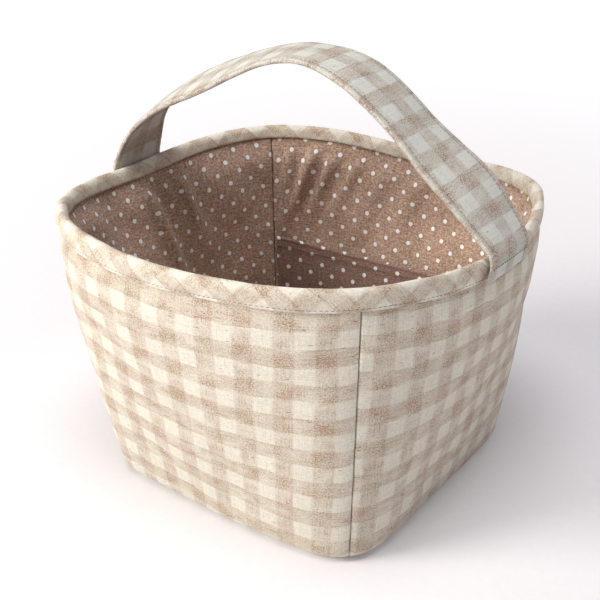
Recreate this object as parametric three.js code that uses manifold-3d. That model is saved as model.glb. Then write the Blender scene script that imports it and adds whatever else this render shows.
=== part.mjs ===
// Sewing basket: a soft square tub of gingham linen with a dotted lining, a bound rim,
// an inner patch pocket and a flat padded strap handle. Millimetres, +Z up.
// The origin is at the middle of the underside, +X runs towards one end of the handle.
import * as THREE from "three";
import { mergeVertices } from "three/addons/utils/BufferGeometryUtils.js";
import Module from "manifold-3d";

const wasm = await Module();
wasm.setup();

// Tub outline: a rounded square at the base that opens into a soft superellipse at the rim
const BASE_WIDTH = 183;
const BASE_SQUARENESS = 7.3;
const RIM_WIDTH = 247.4;
const RIM_SQUARENESS = 2.57;
const WALL_BULGE = 0.6;
const BOTTOM_EDGE_RADIUS = 8;
const CREST_AT_CORNER = 161;
const CREST_DIP = 5;

// Wall build-up, measured inwards from the outer face of the gingham
const CLOTH = 1.0;
const GAP = 0.3;
const WADDING = 3.9;
const WADDING_DEPTH = CLOTH + GAP;
const LINING_DEPTH = WADDING_DEPTH + WADDING + GAP;
const WALL_THICKNESS = LINING_DEPTH + CLOTH;

// Rim binding, folded over the top of the wall
const BINDING_DROP = 11;
const BINDING_CLOTH = 1.0;
const BINDING_CORNER = 2.2;
const WALL_TOP_BELOW_CREST = BINDING_CLOTH + GAP;
const BINDING_STITCH_DROP = 9.3;

// Inner patch pocket, the full width of the back wall
const POCKET_BOTTOM = 10;
const POCKET_TOP = 88;
const POCKET_GAPE = 7;
const POCKET_STITCH_DROP = 7;

// Strap handle: [x, z, tilt] along its centre line from the left end to the right end, where
// tilt is how far its back edge is turned outwards, in radians
const STRAP_WIDTH = 40;
const STRAP_THICKNESS = 3.0;
const SLEEVE_CLOTH = 0.65;
const STRAP_STEPS = 44;
const STRAP_ROUTE = [
  [-127.3, 157.4, 0], [-119, 179.5, 0.15], [-98, 199.5, 0.24], [-58, 220, 0.27],
  [-17, 235.8, 0.1], [8, 238.3, 0.03], [30, 233.6, 0.06], [55, 219, 0.05],
  [66, 208.3, 0.04], [82, 194.4, 0.15], [102, 179.8, 0.19], [127.3, 157.4, 0],
];
const TAB_DEPTH = -2.3;
const TAB_TOP = 156.6;

// Swing of the handle about the line through its two sewn ends
const PIVOT_HEIGHT = 157;
const SWING_LIMIT = THREE.MathUtils.degToRad(30);
const SWING_CLEARANCE = 0.4;

// Sewing thread rows
const THREAD_WIDTH = 0.6;
const THREAD_THICKNESS = 0.3;
const TOPSTITCH_FROM_EDGE = 3.5;
const TAB_STITCH_DROP = 2.0;
const TAB_STITCH_INSET = 1.5;

// Facets
const STEPS_PER_WALL = 12;
const EDGE_STEPS = 3;
const WALL_STEPS = 6;
const CORNER_GAP_ANGLE = 0.0016;

const QUARTER = Math.PI / 2;
const WALLS = { right: 0, back: QUARTER, left: 2 * QUARTER, front: 3 * QUARTER };

const object = new THREE.Group();

function cloth(color, roughness = 0.9) {
  return new THREE.MeshStandardMaterial({ color, roughness, metalness: 0 });
}

function addPiece(name, geometry, color) {
  const mesh = new THREE.Mesh(geometry, cloth(color));
  mesh.name = name;
  object.add(mesh);
  return mesh;
}

// ---- tub surface -------------------------------------------------------------------

function superellipse(theta, width, squareness) {
  const c = Math.abs(Math.cos(theta)) ** squareness;
  const s = Math.abs(Math.sin(theta)) ** squareness;
  return (width / 2) * (c + s) ** (-1 / squareness);
}

// Where the flat underside ends and the rounded bottom edge begins
function baseEdge(theta) {
  return superellipse(theta, BASE_WIDTH - 2 * BOTTOM_EDGE_RADIUS, BASE_SQUARENESS);
}

function crestHeight(theta) {
  return CREST_AT_CORNER - CREST_DIP * Math.cos(2 * theta) ** 2;
}

// The straight stretch of the wall in the radial plane at theta, at a depth inside its outer face
function wallLine(theta, depth) {
  const base = superellipse(theta, BASE_WIDTH, BASE_SQUARENESS);
  const rim = superellipse(theta, RIM_WIDTH, RIM_SQUARENESS);
  const top = crestHeight(theta) - WALL_TOP_BELOW_CREST;
  const slope = Math.atan2(rim - base, top - BOTTOM_EDGE_RADIUS);
  const flatEdge = baseEdge(theta);
  const run = base - flatEdge - depth;
  const rise = BOTTOM_EDGE_RADIUS - depth;
  return {
    slope,
    flatEdge,
    run,
    rise,
    bottomRadius: flatEdge + run * Math.cos(slope),
    bottomHeight: BOTTOM_EDGE_RADIUS - rise * Math.sin(slope),
    topRadius: rim - depth / Math.cos(slope),
    top,
  };
}

function wallRadius(theta, height, depth) {
  const line = wallLine(theta, depth);
  const u = (height - line.bottomHeight) / (line.top - line.bottomHeight);
  const bulge = WALL_BULGE * Math.sin(Math.PI * THREE.MathUtils.clamp(u, 0, 1));
  return line.bottomRadius + u * (line.topRadius - line.bottomRadius) + bulge;
}

// Points [radius, height] from the flat base, round the bottom edge and up to the wall's top
function wallProfile(theta, depth) {
  const line = wallLine(theta, depth);
  const points = [];
  for (let i = 0; i < EDGE_STEPS; i++) {
    const angle = (i / EDGE_STEPS) * (QUARTER - line.slope);
    points.push([
      line.flatEdge + line.run * Math.sin(angle),
      BOTTOM_EDGE_RADIUS - line.rise * Math.cos(angle),
    ]);
  }
  for (let i = 0; i <= WALL_STEPS; i++) {
    const height = line.bottomHeight + (i / WALL_STEPS) * (line.top - line.bottomHeight);
    points.push([wallRadius(theta, height, depth), height]);
  }
  return points;
}

// ---- solids from sections ----------------------------------------------------------

// A closed solid through a list of sections, each the same number of points going round.
// Every facet's diagonal climbs the same way, so neighbouring layers stay parallel.
function loft(sections, closed) {
  const count = sections[0].length;
  const positions = sections.flat().flatMap((p) => [p.x, p.y, p.z]);
  const index = [];
  const last = closed ? sections.length : sections.length - 1;
  for (let i = 0; i < last; i++) {
    const a = i * count;
    const b = ((i + 1) % sections.length) * count;
    for (let j = 0; j < count; j++) {
      const k = (j + 1) % count;
      const rising = sections[i][k].z >= sections[i][j].z;
      if (rising) index.push(a + j, b + j, b + k, a + j, b + k, a + k);
      else index.push(a + j, b + j, a + k, b + j, b + k, a + k);
    }
  }
  if (!closed) {
    addCap(sections[0], 0, index, true);
    addCap(sections.at(-1), (sections.length - 1) * count, index, false);
  }
  const geometry = new THREE.BufferGeometry();
  geometry.setAttribute("position", new THREE.Float32BufferAttribute(positions, 3));
  geometry.setIndex(index);
  return outward(geometry);
}

function addCap(section, offset, index, first) {
  const middle = section.reduce((sum, p) => sum.add(p), new THREE.Vector3());
  middle.divideScalar(section.length);
  const normal = new THREE.Vector3();
  section.forEach((p, i) => {
    const q = section[(i + 1) % section.length];
    normal.add(p.clone().sub(middle).cross(q.clone().sub(middle)));
  });
  normal.normalize();
  const across = section[1].clone().sub(section[0]).normalize();
  across.addScaledVector(normal, -across.dot(normal)).normalize();
  const up = normal.clone().cross(across);
  const flat = section.map((p) => new THREE.Vector2(p.dot(across), p.dot(up)));
  for (const [a, b, c] of THREE.ShapeUtils.triangulateShape(flat, [])) {
    if (first) index.push(offset + a, offset + b, offset + c);
    else index.push(offset + c, offset + b, offset + a);
  }
}

// Turns a closed geometry's faces outwards where its enclosed volume comes out negative
function outward(geometry) {
  const position = geometry.attributes.position;
  const index = geometry.index.array;
  const [a, b, c] = [new THREE.Vector3(), new THREE.Vector3(), new THREE.Vector3()];
  let volume = 0;
  for (let i = 0; i < index.length; i += 3) {
    a.fromBufferAttribute(position, index[i]);
    b.fromBufferAttribute(position, index[i + 1]);
    c.fromBufferAttribute(position, index[i + 2]);
    volume += a.dot(b.cross(c));
  }
  if (volume < 0) {
    for (let i = 0; i < index.length; i += 3) {
      [index[i], index[i + 1]] = [index[i + 1], index[i]];
    }
  }
  return geometry;
}

function polar(theta, [radius, height]) {
  return new THREE.Vector3(radius * Math.cos(theta), radius * Math.sin(theta), height);
}

// Angles across one wall, closer together towards its two corners
function wallAngles(middle, margin = CORNER_GAP_ANGLE) {
  const angles = [];
  const half = QUARTER / 2 - margin;
  for (let i = 0; i <= STEPS_PER_WALL; i++) {
    const u = (2 * i) / STEPS_PER_WALL - 1;
    angles.push(middle + half * (0.55 * u + 0.45 * Math.sin((Math.PI / 2) * u)));
  }
  return angles;
}

function rimAngles() {
  return Object.values(WALLS).flatMap((middle) => wallAngles(middle, 0).slice(0, -1));
}

function toManifold(geometry) {
  const bare = geometry.clone();
  for (const name of Object.keys(bare.attributes)) {
    if (name !== "position") bare.deleteAttribute(name);
  }
  const merged = mergeVertices(bare, 1e-4);
  const vertProperties = new Float32Array(merged.attributes.position.array);
  const triVerts = new Uint32Array(merged.index.array);
  return new wasm.Manifold(new wasm.Mesh({ numProp: 3, vertProperties, triVerts }));
}

function fromManifold(solid) {
  const mesh = solid.getMesh();
  const geometry = new THREE.BufferGeometry();
  geometry.setAttribute("position", new THREE.BufferAttribute(mesh.vertProperties, 3));
  geometry.setIndex(new THREE.BufferAttribute(mesh.triVerts, 1));
  return geometry;
}

// ---- walls and base ----------------------------------------------------------------

function wallLayer(middle, depth, thickness) {
  const sections = wallAngles(middle).map((theta) => {
    const outer = wallProfile(theta, depth);
    const inner = wallProfile(theta, depth + thickness).reverse();
    return [...outer, ...inner].map((point) => polar(theta, point));
  });
  return loft(sections, false);
}

function baseLayer(bottom, thickness) {
  const outline = rimAngles().map((theta) => {
    const edge = baseEdge(theta) - GAP;
    return new THREE.Vector2(edge * Math.cos(theta), edge * Math.sin(theta));
  });
  const geometry = new THREE.ExtrudeGeometry(new THREE.Shape(outline), {
    depth: thickness,
    bevelEnabled: false,
  });
  geometry.translate(0, 0, bottom);
  return geometry;
}

function addTub() {
  const gingham = 0xe9dcc8;
  const fleece = 0xf4f1ea;
  const dotted = 0x9a7d69;
  for (const [side, middle] of Object.entries(WALLS)) {
    addPiece(`outer_${side}_panel`, wallLayer(middle, 0, CLOTH), gingham);
    addPiece(`wadding_${side}`, wallLayer(middle, WADDING_DEPTH, WADDING), fleece);
    addPiece(`lining_${side}_panel`, wallLayer(middle, LINING_DEPTH, CLOTH), dotted);
  }
  addPiece("outer_base_panel", baseLayer(0, CLOTH), gingham);
  addPiece("base_stiffener", baseLayer(WADDING_DEPTH, WADDING), fleece);
  addPiece("lining_base_panel", baseLayer(LINING_DEPTH, CLOTH), dotted);
}

// ---- rim binding -------------------------------------------------------------------

function bindingSection(theta) {
  const crest = crestHeight(theta);
  const hem = crest - BINDING_DROP;
  const roof = crest - BINDING_CLOTH;
  const outside = -GAP - BINDING_CLOTH;
  const inside = WALL_THICKNESS + GAP + BINDING_CLOTH;
  const shoulder = crest - BINDING_CORNER;
  const bevel = 0.6;
  const outline = [
    [outside, hem], [outside, shoulder], [outside + bevel, crest - bevel],
    [outside + BINDING_CORNER + GAP, crest], [inside - BINDING_CORNER - GAP, crest],
    [inside - bevel, crest - bevel], [inside, shoulder], [inside, hem],
    [inside - BINDING_CLOTH, hem], [inside - BINDING_CLOTH, roof], [-GAP, roof], [-GAP, hem],
  ];
  return outline.map(([depth, z]) => polar(theta, [wallRadius(theta, z, depth), z]));
}

function bindingStitchSection(theta) {
  const middle = crestHeight(theta) - BINDING_STITCH_DROP;
  const near = -GAP - BINDING_CLOTH - GAP;
  const far = near - THREAD_THICKNESS;
  const half = THREAD_WIDTH / 2;
  const outline = [[near, middle - half], [far, middle - half], [far, middle + half],
    [near, middle + half]];
  return outline.map(([depth, z]) => polar(theta, [wallRadius(theta, z, depth), z]));
}

function addBinding() {
  addPiece("rim_binding", loft(rimAngles().map(bindingSection), true), 0xeee6d8);
  addPiece("binding_stitching", loft(rimAngles().map(bindingStitchSection), true), 0xa08872);
}

// ---- pocket ------------------------------------------------------------------------

// How far the pocket stands off the lining: nothing at its sewn sides and bottom
function pocketGape(theta, height) {
  const across = Math.abs(theta - WALLS.back) / (QUARTER / 2);
  const up = (height - POCKET_BOTTOM) / (POCKET_TOP - POCKET_BOTTOM);
  const mouth = (1 - THREE.MathUtils.clamp(across, 0, 1) ** 3) * Math.sqrt(Math.max(up, 0));
  return GAP + POCKET_GAPE * mouth;
}

function pocketPoint(theta, height, depth) {
  const from = WALL_THICKNESS + pocketGape(theta, height) + depth;
  return polar(theta, [wallRadius(theta, height, from), height]);
}

function addPocket() {
  const margin = 4 * CORNER_GAP_ANGLE;
  const rows = 7;
  const heights = [];
  for (let i = 0; i <= rows; i++) {
    heights.push(POCKET_BOTTOM + (POCKET_TOP - POCKET_BOTTOM) * (i / rows) ** 1.5);
  }
  const panel = wallAngles(WALLS.back, margin).map((theta) => [
    ...heights.map((z) => pocketPoint(theta, z, 0)),
    ...heights.toReversed().map((z) => pocketPoint(theta, z, CLOTH)),
  ]);
  addPiece("pocket_panel", loft(panel, false), 0x9f826d);

  const low = POCKET_TOP - POCKET_STITCH_DROP - THREAD_WIDTH / 2;
  const near = CLOTH + GAP;
  const far = near + THREAD_THICKNESS;
  const row = wallAngles(WALLS.back, 3 * margin).map((theta) => [
    pocketPoint(theta, low, near),
    pocketPoint(theta, low + THREAD_WIDTH, near),
    pocketPoint(theta, low + THREAD_WIDTH, far),
    pocketPoint(theta, low, far),
  ]);
  addPiece("pocket_hem_stitching", loft(row, false), 0xd9c4ad);
}

// ---- handle ------------------------------------------------------------------------

// The strap's centre line in the XZ plane, carrying its tilt in the otherwise unused Y value
const strapCurve = new THREE.CatmullRomCurve3(
  STRAP_ROUTE.map(([x, z, tilt]) => new THREE.Vector3(x, tilt, z)), false, "centripetal");

// Frames along the strap: its middle, the direction across it and the direction out of its face
function strapFrames() {
  const frames = [];
  for (let i = 0; i <= STRAP_STEPS; i++) {
    const middle = strapCurve.getPointAt(i / STRAP_STEPS);
    const tangent = strapCurve.getTangentAt(i / STRAP_STEPS).setY(0).normalize();
    const tilt = middle.y;
    middle.y = 0;
    const across = new THREE.Vector3(
      -tangent.z * Math.sin(tilt), Math.cos(tilt), tangent.x * Math.sin(tilt));
    frames.push({ middle, across, out: tangent.cross(across) });
  }
  return frames;
}

// A bar along the strap between two places across it and two out of its face
function strapBar(acrossLow, acrossHigh, outLow, outHigh) {
  const corners = [[acrossLow, outLow], [acrossHigh, outLow], [acrossHigh, outHigh],
    [acrossLow, outHigh]];
  const sections = strapFrames().map(({ middle, across, out }) => corners.map(([a, o]) =>
    middle.clone().addScaledVector(across, a).addScaledVector(out, o)));
  return toManifold(loft(sections, false));
}

// What lies under the V-shaped ends of the strap: the room that the strap needs to swing
function swingRoom() {
  const reach = STRAP_WIDTH;
  const point = PIVOT_HEIGHT + SWING_CLEARANCE;
  const rise = reach * Math.tan(SWING_LIMIT);
  const shape = new THREE.Shape([
    new THREE.Vector2(-reach, PIVOT_HEIGHT - reach), new THREE.Vector2(reach, PIVOT_HEIGHT - reach),
    new THREE.Vector2(reach, point + rise), new THREE.Vector2(0, point),
    new THREE.Vector2(-reach, point + rise),
  ]);
  const length = 2 * RIM_WIDTH;
  const geometry = new THREE.ExtrudeGeometry(shape, { depth: length, bevelEnabled: false });
  geometry.translate(0, 0, -length / 2);
  geometry.rotateX(QUARTER);
  geometry.rotateZ(QUARTER);
  return toManifold(geometry);
}

function addHandle() {
  const room = swingRoom();
  const half = STRAP_WIDTH / 2;
  const face = STRAP_THICKNESS / 2;
  const hollowHalf = half - SLEEVE_CLOTH;
  const hollowFace = face - SLEEVE_CLOTH;
  const sleeve = strapBar(-half, half, -face, face)
    .subtract(strapBar(-hollowHalf, hollowHalf, -hollowFace, hollowFace))
    .subtract(room);
  addPiece("handle_sleeve", fromManifold(sleeve), 0xe4dccf);
  const core = strapBar(GAP - hollowHalf, hollowHalf - GAP, GAP - hollowFace, hollowFace - GAP);
  addPiece("handle_interfacing", fromManifold(core.subtract(room)), 0xf4f1ea);
  for (const [side, sign] of [["front", -1], ["back", 1]]) {
    const middle = sign * (half - TOPSTITCH_FROM_EDGE);
    const row = strapBar(middle - THREAD_WIDTH / 2, middle + THREAD_WIDTH / 2,
      face + GAP, face + GAP + THREAD_THICKNESS);
    addPiece(`handle_topstitching_${side}`, fromManifold(row.subtract(room)), 0xb9a48d);
  }
}

// The sewn-down end of the strap: a flat tab over the outside of the binding
function tabShape(depthNear, depthFar, low, high) {
  const corner = (z, depth) => new THREE.Vector2(wallRadius(0, z, depth), z);
  return new THREE.Shape([
    corner(low, depthNear), corner(low, depthFar), corner(high, depthFar), corner(high, depthNear),
  ]);
}

function tabSolid(shape, width) {
  const geometry = new THREE.ExtrudeGeometry(shape, { depth: width, bevelEnabled: false });
  geometry.translate(0, 0, -width / 2);
  geometry.rotateX(QUARTER);
  return geometry;
}

function addStrapEnds() {
  const low = crestHeight(0) - BINDING_DROP;
  const outside = TAB_DEPTH - STRAP_THICKNESS;
  const rowTop = TAB_TOP - TAB_STITCH_DROP;
  for (const [side, turn] of [["right", 0], ["left", Math.PI]]) {
    const tab = tabSolid(tabShape(TAB_DEPTH, outside, low, TAB_TOP), STRAP_WIDTH);
    addPiece(`handle_end_${side}`, tab, 0xdcd2c3).rotation.z = turn;
    const row = tabSolid(tabShape(outside - GAP, outside - GAP - THREAD_THICKNESS,
      rowTop - THREAD_WIDTH, rowTop), STRAP_WIDTH - 2 * TAB_STITCH_INSET);
    addPiece(`handle_end_stitching_${side}`, row, 0xa08872).rotation.z = turn;
  }
}

addTub();
addBinding();
addPocket();
addHandle();
addStrapEnds();

export default object;
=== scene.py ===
"""Sewing basket: soft gingham tub with a dotted lining, a bound rim, a patch pocket and a strap.

Lengths inside the script are millimetres, turned into metres when a mesh is made.
The frame's axes: +X towards the right-hand end of the strap, +Y towards the pocket, +Z up.
"""
import math

import bpy
import numpy as np
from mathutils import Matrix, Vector, noise


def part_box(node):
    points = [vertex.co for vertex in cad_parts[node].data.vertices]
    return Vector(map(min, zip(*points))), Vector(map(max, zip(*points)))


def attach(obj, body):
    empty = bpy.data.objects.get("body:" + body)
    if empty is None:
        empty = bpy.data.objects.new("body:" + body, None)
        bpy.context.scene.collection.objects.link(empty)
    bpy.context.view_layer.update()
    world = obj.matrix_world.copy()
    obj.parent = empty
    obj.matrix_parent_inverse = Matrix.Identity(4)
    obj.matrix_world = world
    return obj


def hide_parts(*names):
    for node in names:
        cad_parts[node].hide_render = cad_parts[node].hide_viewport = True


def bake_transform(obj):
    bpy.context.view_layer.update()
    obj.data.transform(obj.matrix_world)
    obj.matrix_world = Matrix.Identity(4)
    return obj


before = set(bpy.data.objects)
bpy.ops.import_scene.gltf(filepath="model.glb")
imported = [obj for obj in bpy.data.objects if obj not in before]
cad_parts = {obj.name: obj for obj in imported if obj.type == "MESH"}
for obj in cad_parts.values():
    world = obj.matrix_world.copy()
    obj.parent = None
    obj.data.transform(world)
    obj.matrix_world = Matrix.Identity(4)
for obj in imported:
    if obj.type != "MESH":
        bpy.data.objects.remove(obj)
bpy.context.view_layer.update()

MM = 0.001


def node_box(name):
    """Lowest and highest corner of a CAD node, in millimetres."""
    low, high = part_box(name)
    return np.array(low) / MM, np.array(high) / MM


# ---- sizes, from the frame ----

RIM_HIGH = node_box("rim_binding")[1]
BASE_LOW, BASE_HIGH = node_box("outer_base_panel")
STIFF_LOW, STIFF_HIGH = node_box("base_stiffener")
LINING_LOW, LINING_HIGH = node_box("lining_base_panel")
POCKET_LOW, POCKET_HIGH = node_box("pocket_panel")
END_LOW, END_HIGH = node_box("handle_end_right")

GAP = 0.3  # between neighbouring layers
CLOTH = BASE_HIGH[2] - BASE_LOW[2]
EDGE_RADIUS = 8.0  # where the walls turn into the base
RIM_WIDTH = 2 * (RIM_HIGH[0] - GAP - CLOTH)
RIM_SQUARENESS = 2.57
BASE_WIDTH = 2 * (BASE_HIGH[0] + GAP + EDGE_RADIUS)
BASE_SQUARENESS = 7.3
CREST = RIM_HIGH[2]
CREST_DIP = 5.0  # how far the rim dips at the middle of each wall
WALL_BULGE = 0.6
WALL_TOP_BELOW_CREST = CLOTH + GAP
LINING_DEPTH = LINING_LOW[2]
THICKNESS = LINING_HIGH[2]
BINDING_DROP = 11.0  # the binding's lower edges below the crest, outside and inside
INSIDE_DROP = 7.6
STITCH_DROP = 9.7
POCKET_BOTTOM, POCKET_TOP = POCKET_LOW[2], POCKET_HIGH[2]
POCKET_GAPE = 7.0
STRAP_WIDTH = END_HIGH[1] - END_LOW[1]
STRAP_HALF = 20.0  # the half width that its cupping and its cloth are fitted to
STRAP_THICKNESS = 3.0
TAB_DEPTH = -3.8  # of the sewn ends' middle, outside the wall's face
TAB_LOW = END_LOW[2]
QUARTER = math.pi / 2
WALLS = {"right": 0, "back": QUARTER, "left": 2 * QUARTER, "front": 3 * QUARTER}
# The strap's centre line: [x, z, how far its back edge is turned outwards]
STRAP_ROUTE = [
    [-127.3, 157.4, 0], [-119, 179.5, 0.15], [-98, 199.5, 0.24], [-58, 220, 0.27],
    [-17, 235.8, 0.1], [8, 238.3, 0.03], [30, 233.6, 0.06], [55, 219, 0.05],
    [67.5, 209.3, 0.04], [84.5, 196.0, 0.15], [103.5, 182.2, 0.19], [116.5, 171.0, 0.1],
    [123.0, 164.6, 0.04], [127.0, 157.8, 0],
]


def ramp(value, low=0.0, high=1.0):
    """A smooth step from 0 at low to 1 at high."""
    t = np.clip((value - low) / (high - low), 0, 1)
    return t * t * (3 - 2 * t)


def bell(value, width):
    """1 where the value is 0, falling smoothly to nothing over a width or two."""
    return np.exp(-(value / width) ** 2)


def beside(distance, reach):
    """1 at a seam or an edge, fading away from it."""
    return np.exp(-distance / reach)


def away(distance, reach):
    """0 at a seam or an edge, growing to 1 away from it."""
    return 1 - beside(distance, reach)


# ---- the tub's surface ----

def superellipse(theta, width, squareness):
    """Radius at an angle of a square with rounded corners and sides."""
    c = np.abs(np.cos(theta)) ** squareness
    s = np.abs(np.sin(theta)) ** squareness
    return width / 2 * (c + s) ** (-1 / squareness)


def crest_height(theta):
    return CREST - CREST_DIP * np.cos(2 * theta) ** 2


def base_edge(theta):
    return superellipse(theta, BASE_WIDTH - 2 * EDGE_RADIUS, BASE_SQUARENESS)


def wall_line(theta, depth):
    """Slope, start and end of the wall's straight stretch, at a depth inside its outer face."""
    base = superellipse(theta, BASE_WIDTH, BASE_SQUARENESS)
    rim = superellipse(theta, RIM_WIDTH, RIM_SQUARENESS)
    top = crest_height(theta) - WALL_TOP_BELOW_CREST
    slope = np.arctan2(rim - base, top - EDGE_RADIUS)
    run = base - base_edge(theta) - depth
    rise = EDGE_RADIUS - depth
    low = (base_edge(theta) + run * np.cos(slope), EDGE_RADIUS - rise * np.sin(slope))
    high = (rim - depth / np.cos(slope), top)
    return slope, run, rise, low, high


def wall_radius(theta, height, depth):
    _, _, _, low, high = wall_line(theta, depth)
    u = (height - low[1]) / (high[1] - low[1])
    return low[0] + u * (high[0] - low[0]) + WALL_BULGE * np.sin(math.pi * np.clip(u, 0, 1))


def polar(theta, radius, height):
    place = (radius * np.cos(theta), radius * np.sin(theta), height)
    return np.stack(np.broadcast_arrays(*place), axis=-1)


CORNER_RADIUS = 125.0
# Distances from a corner seam to the columns of points beside it
SEAM_STEPS = np.array([0.10, 0.25, 0.5, 0.85, 1.3, 1.9, 2.6, 3.5, 4.6, 6.0])


def wall_angles(middle, count, margin=0.0):
    """Angles across one wall, with close columns beside its two corner seams."""
    near = SEAM_STEPS / CORNER_RADIUS + margin
    half = QUARTER / 2
    between = np.linspace(-half + near[-1], half - near[-1], count)
    return middle + np.concatenate([-half + near[:-1], between, (half - near[:-1])[::-1]])


def wall_grid(middle, depth, columns=104, rows=84, edge_rows=12, below=0.0, margin=0.0):
    """Points of one wall from the flat base up to just below the crest: [column, row, xyz]."""
    theta = wall_angles(middle, columns, margin)[:, None]
    slope, run, rise, low, high = wall_line(theta, depth)
    angle = np.linspace(0, 1, edge_rows, endpoint=False)[None] * (QUARTER - slope)
    edge = polar(theta, base_edge(theta) + run * np.sin(angle), EDGE_RADIUS - rise * np.cos(angle))
    height = low[1] + np.linspace(0, 1, rows)[None] * (high[1] - below - low[1])
    wall = polar(theta, wall_radius(theta, height, depth), height)
    return np.concatenate([edge, wall], axis=1)


def unit(vectors):
    return vectors / np.linalg.norm(vectors, axis=-1, keepdims=True)


def grid_normals(grid):
    return unit(np.cross(np.gradient(grid, axis=0), np.gradient(grid, axis=1)))


def arc_lengths(points, axis=0):
    """Distance run along one axis of a grid or path of points, starting from nought."""
    run = np.cumsum(np.linalg.norm(np.diff(points, axis=axis), axis=-1), axis=axis)
    return np.insert(run, 0, 0, axis=axis)


SEED_STEPS = (7.31, 3.17, 5.73)


def field(points, wavelength, seed):
    """Smooth noise from -1 to 1 at each point, with features of about the wavelength."""
    flat = points.reshape(-1, points.shape[-1]) / wavelength
    shift = Vector([seed * step for step in SEED_STEPS])
    values = [noise.noise(Vector(p) + shift) for p in flat]
    return np.array(values).reshape(points.shape[:-1])


def waves(points, *layers):
    """Smooth noises added up; each layer is [height, wavelength, seed]."""
    return sum(height * field(points, length, seed) for height, length, seed in layers)


CORNER = (60, 165)  # where a corner's lean starts and is full, along the diagonal
DIAGONAL = 0.7
FOOT_LEAN, BELLY = 8.0, 2.6  # of the front left corner
LEFT_RISE, FRONT_RISE = 2.0, 4.2  # of the rim
BACK_RIGHT_BULGE, BACK_RIGHT_SINK = 0.8, 1.2
RIGHT_LEAN = 3.2


def settle(points):
    """The set of the soft tub: its front left corner leans, and two stretches of its rim rise."""
    x, y, z = points[..., 0], points[..., 1], points[..., 2]
    foot = np.clip(1 - z / 105, 0, 1) ** 1.5
    inward = ramp(-x - y, *CORNER) * (FOOT_LEAN * foot - BELLY * bell(z - 130, 32))
    up = LEFT_RISE * ramp(y - x, *CORNER) * ramp(z, 110, 160)
    front = ramp(-y, 50, 115) * (1 - ramp(x, 15, 95)) * (1 - 0.5 * ramp(-x, 35, 90))
    up += FRONT_RISE * front * ramp(z, 110, 158)
    back_right = ramp(x + y, *CORNER) * ramp(z, 60, 150)
    inward -= BACK_RIGHT_BULGE * back_right
    right = -RIGHT_LEAN * ramp(x, 92, 124) * ramp(z, 90, 150)
    return points + np.stack([inward * DIAGONAL + right, inward * DIAGONAL,
                              up - BACK_RIGHT_SINK * back_right], axis=-1)


# ---- meshes ----

def add_object(name, data):
    made = bpy.data.objects.new(name, data)
    bpy.context.scene.collection.objects.link(made)
    return made


def make_mesh(name, points, faces, uvs, material, uv_faces=None):
    """A mesh object from millimetre points; uvs are millimetres of cloth, one [u, v] a corner."""
    mesh = bpy.data.meshes.new(name)
    mesh.from_pydata((np.asarray(points) * MM).tolist(), [], [list(f) for f in faces])
    layer = mesh.uv_layers.new(name="cloth")
    index = np.array([k for f in (uv_faces or faces) for k in f])
    layer.data.foreach_set("uv", np.asarray(uvs, np.float32)[index].ravel())
    mesh.polygons.foreach_set("use_smooth", [True] * len(mesh.polygons))
    mesh.materials.append(material)
    mesh.update()
    return add_object(name, mesh)


def grid_faces(columns, rows, offset=0, flip=False):
    faces = []
    for i in range(columns - 1):
        a, b = offset + i * rows, offset + (i + 1) * rows
        for j in range(rows - 1):
            quad = (a + j, b + j, b + j + 1, a + j + 1)
            faces.append(quad[::-1] if flip else quad)
    return faces


def ring_faces(count, size, offset=0, wrap=False):
    """Faces of a solid through rings of points, with ends where it doesn't close on itself."""
    faces = []
    for i in range(count if wrap else count - 1):
        a, b = offset + i * size, offset + ((i + 1) % count) * size
        faces += [(a + j, a + (j + 1) % size, b + (j + 1) % size, b + j) for j in range(size)]
    return faces if wrap else faces + ring_ends(count, size, size, offset)


def ring_ends(count, size, pitch, offset=0):
    last = offset + (count - 1) * pitch
    return [tuple(range(offset + size - 1, offset - 1, -1)), tuple(range(last, last + size))]


def slab(name, front, back, uv, material):
    """A closed sheet of cloth between two grids of points, its front one facing outwards."""
    columns, rows = front.shape[:2]
    count = columns * rows
    points = np.concatenate([front.reshape(-1, 3), back.reshape(-1, 3)])
    uvs = np.concatenate([uv.reshape(-1, 2)] * 2)
    faces = grid_faces(columns, rows) + grid_faces(columns, rows, count, flip=True)
    place = np.arange(count).reshape(columns, rows)
    rim = np.concatenate([place[0], place[1:, -1], place[-1, -2::-1], place[-2:0:-1, 0]])
    faces += [(a, b, b + count, a + count) for a, b in zip(rim, np.roll(rim, -1))]
    return make_mesh(name, points, faces, uvs, material)


def tube(name, sections, uvs, material, wrap=False):
    """A closed solid through rings of points; uvs has one more place round than the rings."""
    count, size = sections.shape[:2]
    uv_faces = grid_faces(count + wrap, size + 1)
    uv_faces = [(a, d, c, b) for a, b, c, d in uv_faces]
    if not wrap:
        uv_faces += ring_ends(count, size, size + 1)
    return face_outwards(make_mesh(name, sections.reshape(-1, 3),
                                   ring_faces(count, size, wrap=wrap), uvs.reshape(-1, 2),
                                   material, uv_faces))


def face_outwards(piece):
    """Turns a closed mesh's faces outwards where its signed volume comes out negative."""
    mesh = piece.data
    mesh.calc_loop_triangles()
    corner = np.array([v.co for v in mesh.vertices])
    a, b, c = (corner[k] for k in np.array([t.vertices for t in mesh.loop_triangles]).T)
    if np.einsum("ij,ij->i", a, np.cross(b, c)).sum() < 0:
        mesh.flip_normals()
    return piece


# ---- stitches ----

# A dash's length and thickness in each row
BINDING_DASH = (2.0, 0.30)
POCKET_DASH = (2.0, 0.34)
STRAP_DASH = (1.9, 0.4)
END_DASH = (1.9, 0.6)
STITCH_PITCH = 2.7
END_PITCH = 2.5
STITCH_SIDES = 8
STITCH_STEPS = 7
STITCH_TAPER = 0.96
STITCH_RISE = 0.42
STITCH_FLATNESS = 0.8
STITCH_SINK = 0.12


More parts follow.
